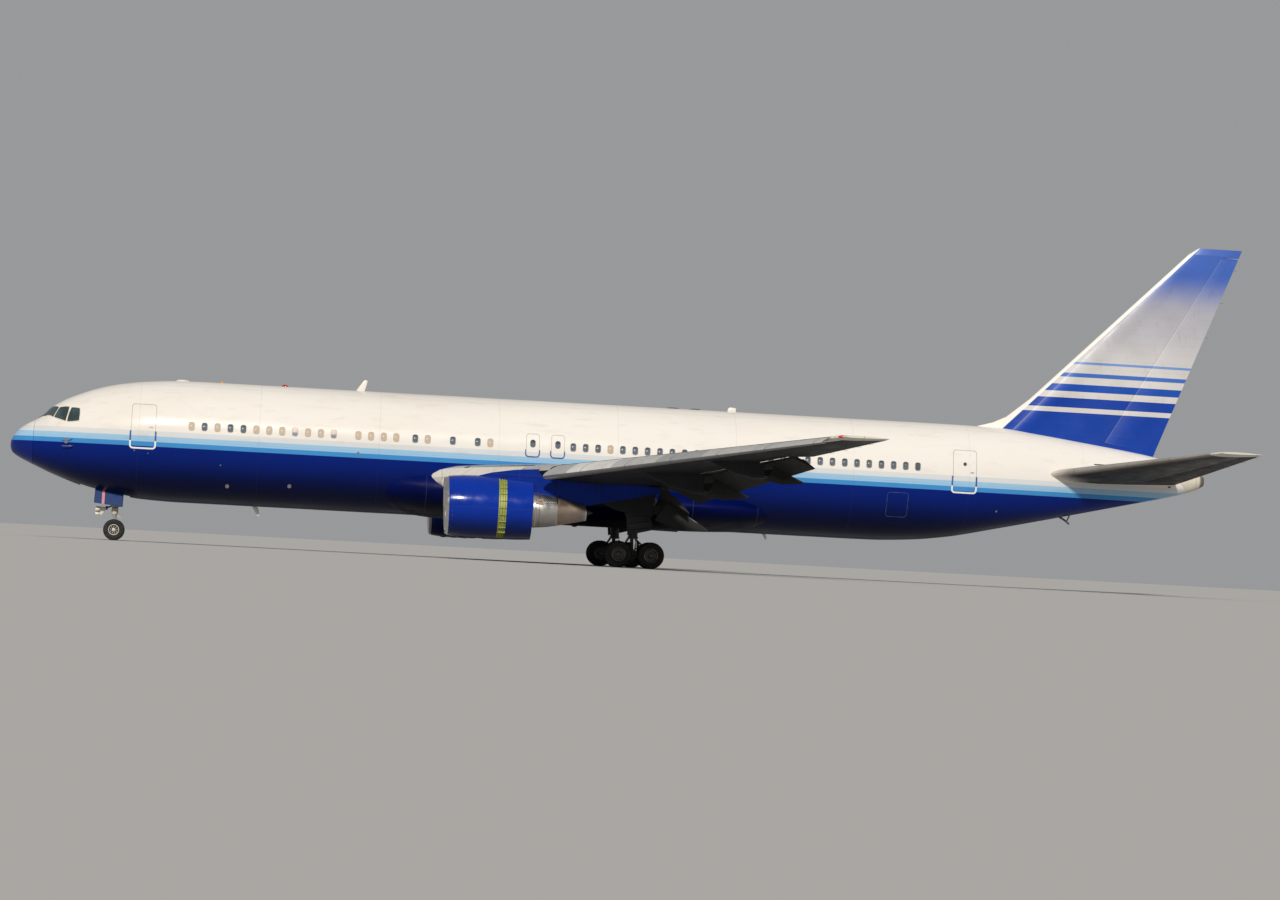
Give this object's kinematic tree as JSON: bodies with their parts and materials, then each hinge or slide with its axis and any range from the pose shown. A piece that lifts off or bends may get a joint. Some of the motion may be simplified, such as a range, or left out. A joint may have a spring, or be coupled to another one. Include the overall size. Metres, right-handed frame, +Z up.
{
  "type": "wide body twin jet airliner, half scale model",
  "caption": "Low wing twin jet airliner standing on its wheels with flaps, slats and reverser sleeves out, as a half size model.",
  "frame": {"origin": "on the ground, midway along the aircraft's length and on its plane of symmetry", "axes": "+X aft, +Y to the aircraft's right, +Z up"},
  "size_m": [27.47, 23.785, 7.925],
  "materials": {
    "white_paint": "gloss paint",
    "cream_paint": "weathered gloss paint",
    "blue_paint": "gloss paint",
    "grey_paint": "satin paint",
    "gear_paint": "gloss paint, worn",
    "bare_metal": "polished",
    "slat_metal": "satin",
    "hot_metal": "heat stained",
    "cascade_green": "primer",
    "fan_grey": "satin",
    "tyre": "matt"
  },
  "bodies": {
    "airframe": {"fuselage": "white_paint", "radome": "blue_paint", "tail_cone": "cream_paint", "wing_fairing": "blue_paint", "fin": "white_paint", "nose_leg": "gear_paint", "wing_left": "grey_paint", "stabilizer_left": "grey_paint", "pylon_left": "blue_paint", "inlet_lip_left": "bare_metal", "fan_cowl_left": "blue_paint", "cascade_left": "cascade_green", "core_cowl_left": "hot_metal", "main_leg_left": "gear_paint", "leg_door_left": "blue_paint", "nose_door_left": "blue_paint", "wing_right": "grey_paint", "stabilizer_right": "grey_paint", "pylon_right": "blue_paint", "inlet_lip_right": "bare_metal", "fan_cowl_right": "blue_paint", "cascade_right": "cascade_green", "core_cowl_right": "hot_metal", "main_leg_right": "gear_paint", "leg_door_right": "blue_paint", "nose_door_right": "blue_paint"},
    "rudder": {"rudder": "white_paint"},
    "nose_steering": {"nose_steering": "gear_paint"},
    "nose_wheels": {"nose_wheels": "tyre"},
    "main_wheels_front_left": {"main_wheels_front_left": "tyre"},
    "main_wheels_rear_left": {"main_wheels_rear_left": "tyre"},
    "fan_left": {"fan_left": "fan_grey"},
    "reverser_sleeve_left": {"reverser_sleeve_left": "blue_paint"},
    "elevator_left": {"elevator_left": "grey_paint"},
    "aileron_inboard_left": {"aileron_inboard_left": "grey_paint"},
    "aileron_outboard_left": {"aileron_outboard_left": "grey_paint"},
    "spoilers_inboard_left": {"spoilers_inboard_left": "grey_paint"},
    "spoilers_outboard_left": {"spoilers_outboard_left": "grey_paint"},
    "flap_inboard_left": {"flap_inboard_left": "grey_paint"},
    "flap_outboard_left": {"flap_outboard_left": "grey_paint"},
    "slat_inboard_left": {"slat_inboard_left": "slat_metal"},
    "slat_outboard_left": {"slat_outboard_left": "slat_metal"},
    "main_wheels_front_right": {"main_wheels_front_right": "tyre"},
    "main_wheels_rear_right": {"main_wheels_rear_right": "tyre"},
    "fan_right": {"fan_right": "fan_grey"},
    "reverser_sleeve_right": {"reverser_sleeve_right": "blue_paint"},
    "elevator_right": {"elevator_right": "grey_paint"},
    "aileron_inboard_right": {"aileron_inboard_right": "grey_paint"},
    "aileron_outboard_right": {"aileron_outboard_right": "grey_paint"},
    "spoilers_inboard_right": {"spoilers_inboard_right": "grey_paint"},
    "spoilers_outboard_right": {"spoilers_outboard_right": "grey_paint"},
    "flap_inboard_right": {"flap_inboard_right": "grey_paint"},
    "flap_outboard_right": {"flap_outboard_right": "grey_paint"},
    "slat_inboard_right": {"slat_inboard_right": "slat_metal"},
    "slat_outboard_right": {"slat_outboard_right": "slat_metal"}
  },
  "joints": [
    {"name": "rudder", "type": "hinge", "parent": "airframe", "child": "rudder", "pos_m": [12.0485, 0.0174, 5.56], "axis": [0.4966, -0.0037, 0.8679], "range_deg": [-26, 26]},
    {"name": "nose_steer", "type": "hinge", "parent": "airframe", "child": "nose_steering", "pos_m": [-11.36, 0, 0.25], "axis": [0, 0, 1], "range_deg": [-65, 65]},
    {"name": "nose_wheel_spin", "type": "hinge", "parent": "nose_steering", "child": "nose_wheels", "pos_m": [-11.36, 0.25, 0.235], "axis": [0, 1, 0], "continuous": true},
    {"name": "main_wheel_front_left", "type": "hinge", "parent": "airframe", "child": "main_wheels_front_left", "pos_m": [-0.34, -2.575, 0.292], "axis": [0, 1, 0], "continuous": true},
    {"name": "main_wheel_rear_left", "type": "hinge", "parent": "airframe", "child": "main_wheels_rear_left", "pos_m": [0.37, -2.575, 0.292], "axis": [0, 1, 0], "continuous": true},
    {"name": "fan_spin_left", "type": "hinge", "parent": "airframe", "child": "fan_left", "pos_m": [-4.0025, -3.96, 1.145], "axis": [1, 0, 0], "continuous": true},
    {"name": "reverser_left", "type": "slide", "parent": "airframe", "child": "reverser_sleeve_left", "axis": [1, 0, 0], "range_m": [-0.165, 0]},
    {"name": "elevator_left", "type": "hinge", "parent": "airframe", "child": "elevator_left", "pos_m": [12.26748, -2.5625, 2.87617], "axis": [-0.3591, 0.9237, -0.1333], "range_deg": [-28.5, 20.5]},
    {"name": "aileron_inboard_left", "type": "hinge", "parent": "airframe", "child": "aileron_inboard_left", "pos_m": [0.40563, -3.89, 1.86193], "axis": [0.0002, 0.9884, -0.1521], "range_deg": [-20, 20]},
    {"name": "aileron_outboard_left", "type": "hinge", "parent": "airframe", "child": "aileron_outboard_left", "pos_m": [3.07209, -10.1875, 2.65099], "axis": [-0.4352, 0.8938, -0.1085], "range_deg": [-30, 15]},
    {"name": "spoilers_inboard_left", "type": "hinge", "parent": "airframe", "child": "spoilers_inboard_left", "pos_m": [-0.2276, -2.495, 1.84225], "axis": [0.0027, 0.9912, -0.1325], "range_deg": [-60, 0]},
    {"name": "spoilers_outboard_left", "type": "hinge", "parent": "airframe", "child": "spoilers_outboard_left", "pos_m": [1.15976, -6.71, 2.31443], "axis": [-0.4546, 0.8856, -0.0946], "range_deg": [-60, 0]},
    {"name": "flap_inboard_left", "type": "hinge", "parent": "airframe", "child": "flap_inboard_left", "pos_m": [0.23452, -2.495, 1.12388], "axis": [-0.0014, 0.973, -0.2307], "range_deg": [-36, 0]},
    {"name": "flap_outboard_left", "type": "hinge", "parent": "airframe", "child": "flap_outboard_left", "pos_m": [1.3516, -6.71, 1.86107], "axis": [-0.4424, 0.885, -0.1452], "range_deg": [-32, 0]},
    {"name": "slat_inboard_left", "type": "hinge", "parent": "airframe", "child": "slat_inboard_left", "pos_m": [-2.97003, -2.6375, 1.29499], "axis": [-0.5941, 0.7998, -0.0859], "range_deg": [0, 24]},
    {"name": "slat_outboard_left", "type": "hinge", "parent": "airframe", "child": "slat_outboard_left", "pos_m": [0.73007, -7.995, 2.01428], "axis": [-0.5523, 0.8252, -0.1188], "range_deg": [0, 24]},
    {"name": "main_wheel_front_right", "type": "hinge", "parent": "airframe", "child": "main_wheels_front_right", "pos_m": [-0.34, 2.575, 0.292], "axis": [0, 1, 0], "continuous": true},
    {"name": "main_wheel_rear_right", "type": "hinge", "parent": "airframe", "child": "main_wheels_rear_right", "pos_m": [0.37, 2.575, 0.292], "axis": [0, 1, 0], "continuous": true},
    {"name": "fan_spin_right", "type": "hinge", "parent": "airframe", "child": "fan_right", "pos_m": [-4.0025, 3.96, 1.145], "axis": [1, 0, 0], "continuous": true},
    {"name": "reverser_right", "type": "slide", "parent": "airframe", "child": "reverser_sleeve_right", "axis": [1, 0, 0], "range_m": [-0.165, 0]},
    {"name": "elevator_right", "type": "hinge", "parent": "airframe", "child": "elevator_right", "pos_m": [12.26748, 2.5625, 2.87617], "axis": [0.3591, 0.9237, 0.1333], "range_deg": [-28.5, 20.5]},
    {"name": "aileron_inboard_right", "type": "hinge", "parent": "airframe", "child": "aileron_inboard_right", "pos_m": [0.40563, 3.89, 1.86193], "axis": [-0.0002, 0.9884, 0.1521], "range_deg": [-20, 20]},
    {"name": "aileron_outboard_right", "type": "hinge", "parent": "airframe", "child": "aileron_outboard_right", "pos_m": [3.07209, 10.1875, 2.65099], "axis": [0.4352, 0.8938, 0.1085], "range_deg": [-30, 15]},
    {"name": "spoilers_inboard_right", "type": "hinge", "parent": "airframe", "child": "spoilers_inboard_right", "pos_m": [-0.2276, 2.495, 1.84225], "axis": [-0.0027, 0.9912, 0.1325], "range_deg": [-60, 0]},
    {"name": "spoilers_outboard_right", "type": "hinge", "parent": "airframe", "child": "spoilers_outboard_right", "pos_m": [1.15976, 6.71, 2.31443], "axis": [0.4546, 0.8856, 0.0946], "range_deg": [-60, 0]},
    {"name": "flap_inboard_right", "type": "hinge", "parent": "airframe", "child": "flap_inboard_right", "pos_m": [0.23452, 2.495, 1.12388], "axis": [0.0014, 0.973, 0.2307], "range_deg": [-36, 0]},
    {"name": "flap_outboard_right", "type": "hinge", "parent": "airframe", "child": "flap_outboard_right", "pos_m": [1.3516, 6.71, 1.86107], "axis": [0.4424, 0.885, 0.1452], "range_deg": [-32, 0]},
    {"name": "slat_inboard_right", "type": "hinge", "parent": "airframe", "child": "slat_inboard_right", "pos_m": [-2.97003, 2.6375, 1.29499], "axis": [0.5941, 0.7998, 0.0859], "range_deg": [0, 24]},
    {"name": "slat_outboard_right", "type": "hinge", "parent": "airframe", "child": "slat_outboard_right", "pos_m": [0.73007, 7.995, 2.01428], "axis": [0.5523, 0.8252, 0.1188], "range_deg": [0, 24]}
  ]
}
